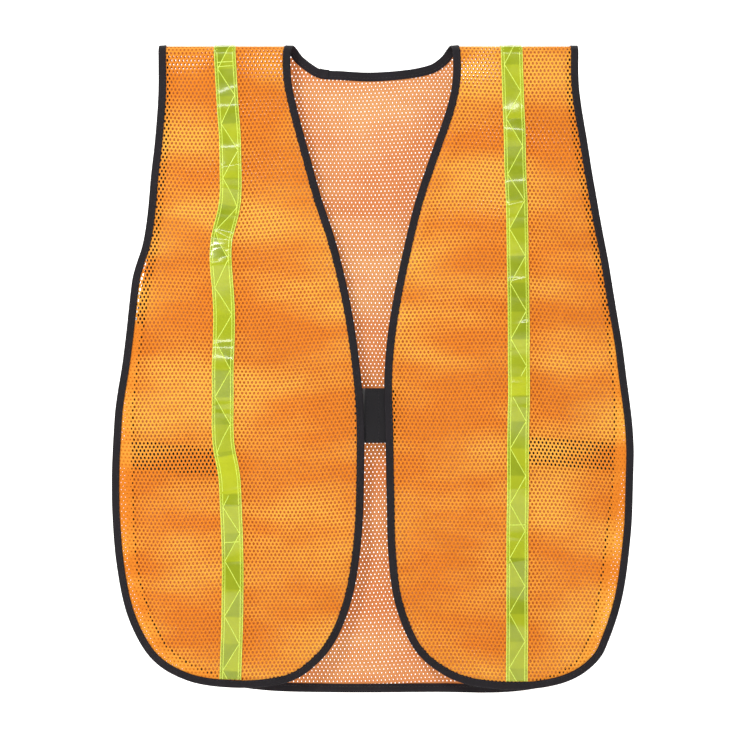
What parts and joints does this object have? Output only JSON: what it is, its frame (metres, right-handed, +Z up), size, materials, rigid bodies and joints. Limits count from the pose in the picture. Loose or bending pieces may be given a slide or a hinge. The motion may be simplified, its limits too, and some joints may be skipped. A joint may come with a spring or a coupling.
{
  "type": "high visibility safety vest",
  "caption": "Open-front mesh safety vest with black edge binding, reflective tapes over the shoulders, a hook-and-loop chest closure and elastic side straps.",
  "frame": {"origin": "middle of the shoulder line, on the top of the shoulder fold, where the wearer's shoulders or a hanger hold it", "axes": "+Z up, the front of the vest faces -Y, +X to the wearer's left"},
  "size_m": [0.4828, 0.019, 0.6038],
  "materials": {
    "orange_mesh": "fluorescent orange warp-knitted polyester mesh with small staggered holes",
    "black_binding": "black woven polyester binding tape, matt",
    "lime_backing": "lime PVC backing film",
    "lime_prismatic": "glossy lime PVC reflective film with welded prism cells",
    "black_webbing": "black woven tape with a hook or loop pile face",
    "black_elastic": "black ribbed elastic webbing",
    "thread": "black polyester sewing thread"
  },
  "bodies": {
    "back": {"back_mesh": "orange_mesh", "back_edge_binding": "black_binding", "back_neck_binding": "black_binding", "binding_lap": "black_binding", "left_back_stripe_backing": "lime_backing", "left_back_stripe_face": "lime_prismatic", "right_back_stripe_backing": "lime_backing", "right_back_stripe_face": "lime_prismatic", "left_strap_back_end": "black_elastic", "right_strap_back_end": "black_elastic"},
    "left_front": {"left_front_mesh": "orange_mesh", "left_front_binding": "black_binding", "left_front_stripe_backing": "lime_backing", "left_front_stripe_face": "lime_prismatic", "left_strap_front_end": "black_elastic", "hook_tab_end": "black_webbing", "hook_tab_tack": "thread"},
    "right_front": {"right_front_mesh": "orange_mesh", "right_front_binding": "black_binding", "right_front_stripe_backing": "lime_backing", "right_front_stripe_face": "lime_prismatic", "right_strap_front_end": "black_elastic", "loop_tab": "black_webbing", "loop_tab_tack": "thread"},
    "hook_tab": {"hook_tab_flap": "black_webbing"},
    "left_strap_front_leaf": {"left_strap_front_leaf": "black_elastic"},
    "left_strap_back_leaf": {"left_strap_back_leaf": "black_elastic"},
    "right_strap_front_leaf": {"right_strap_front_leaf": "black_elastic"},
    "right_strap_back_leaf": {"right_strap_back_leaf": "black_elastic"}
  },
  "joints": [
    {"name": "left_front_lift", "type": "hinge", "parent": "back", "child": "left_front", "pos_m": [0.13, -0.008, -0.0084], "axis": [-1, 0, 0], "range_deg": [0, 16]},
    {"name": "right_front_lift", "type": "hinge", "parent": "back", "child": "right_front", "pos_m": [-0.13, -0.008, -0.0084], "axis": [-1, 0, 0], "range_deg": [0, 16]},
    {"name": "hook_tab_peel", "type": "hinge", "parent": "left_front", "child": "hook_tab", "pos_m": [0.0077, -0.0067, -0.3436], "axis": [0, 0, 1], "range_deg": [0, 100]},
    {"name": "left_strap_swing", "type": "hinge", "parent": "left_front", "child": "left_strap_front_leaf", "pos_m": [0.229, -0.0058, -0.378], "axis": [0, 0.1392, -0.9903], "range_deg": [0, 37]},
    {"name": "left_strap_unfold", "type": "hinge", "parent": "left_strap_front_leaf", "child": "left_strap_back_leaf", "pos_m": [0.139, -0.001, -0.378], "axis": [0, -0.1392, 0.9903], "range_deg": [0, 73.8]},
    {"name": "right_strap_swing", "type": "hinge", "parent": "right_front", "child": "right_strap_front_leaf", "pos_m": [-0.2315, -0.0058, -0.378], "axis": [0, -0.1392, 0.9903], "range_deg": [0, 37]},
    {"name": "right_strap_unfold", "type": "hinge", "parent": "right_strap_front_leaf", "child": "right_strap_back_leaf", "pos_m": [-0.1415, -0.001, -0.378], "axis": [0, 0.1392, -0.9903], "range_deg": [0, 73.8]}
  ],
  "couplings": [
    {"joint": "right_front_lift", "follows": "left_front_lift", "ratio": 1},
    {"joint": "left_strap_swing", "follows": "left_front_lift", "ratio": 2.3},
    {"joint": "left_strap_unfold", "follows": "left_front_lift", "ratio": 4.6},
    {"joint": "right_strap_swing", "follows": "left_front_lift", "ratio": 2.3},
    {"joint": "right_strap_unfold", "follows": "left_front_lift", "ratio": 4.6}
  ]
}
